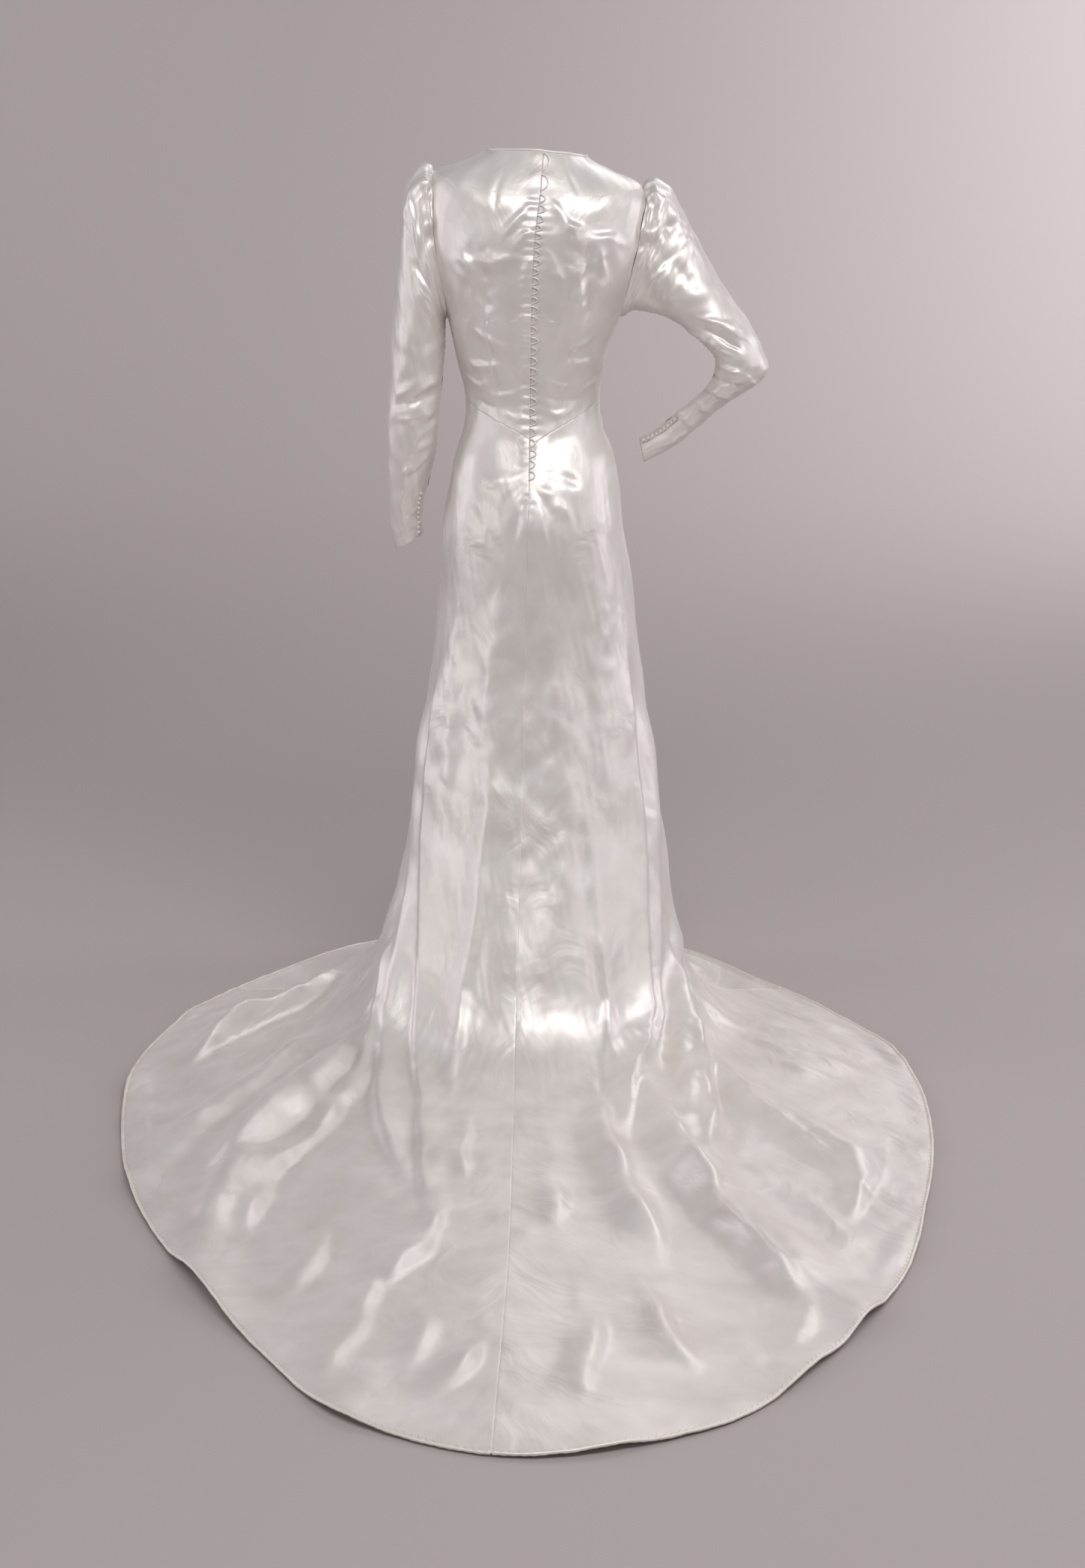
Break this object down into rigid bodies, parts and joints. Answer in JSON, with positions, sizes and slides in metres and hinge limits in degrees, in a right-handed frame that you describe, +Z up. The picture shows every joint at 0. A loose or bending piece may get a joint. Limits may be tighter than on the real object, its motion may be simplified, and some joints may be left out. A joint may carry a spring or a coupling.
{
  "type": "wedding dress",
  "caption": "Long-sleeved satin wedding dress with puffed sleeve heads, a looped back opening and a long train spread on the floor.",
  "frame": {"origin": "between the shoulders, where the wearer carries the dress", "axes": "+Z up, +X to the wearer's right, +Y to the front, the train runs to -Y"},
  "size_m": [1.2985, 1.8828, 1.4798],
  "materials": {
    "satin": "ivory liquid satin, soft sheen",
    "rouleau": "ivory satin rouleau",
    "covered_button": "ivory satin over a shank button",
    "hem_roll": "cream rolled and stitched satin"
  },
  "bodies": {
    "root": {"bodice_front": "satin", "bodice_back_left": "satin", "bodice_back_right": "satin", "sleeve_left": "satin", "sleeve_right": "satin", "skirt_front": "satin", "skirt_back_left": "satin", "skirt_back_right": "satin", "neck_binding": "rouleau", "button_loops": "rouleau", "button_stand": "covered_button", "wrist_buttons_left": "covered_button", "wrist_buttons_right": "covered_button", "hem_front": "hem_roll", "hem_back_left": "hem_roll", "hem_back_right": "hem_roll"}
  },
  "joints": []
}
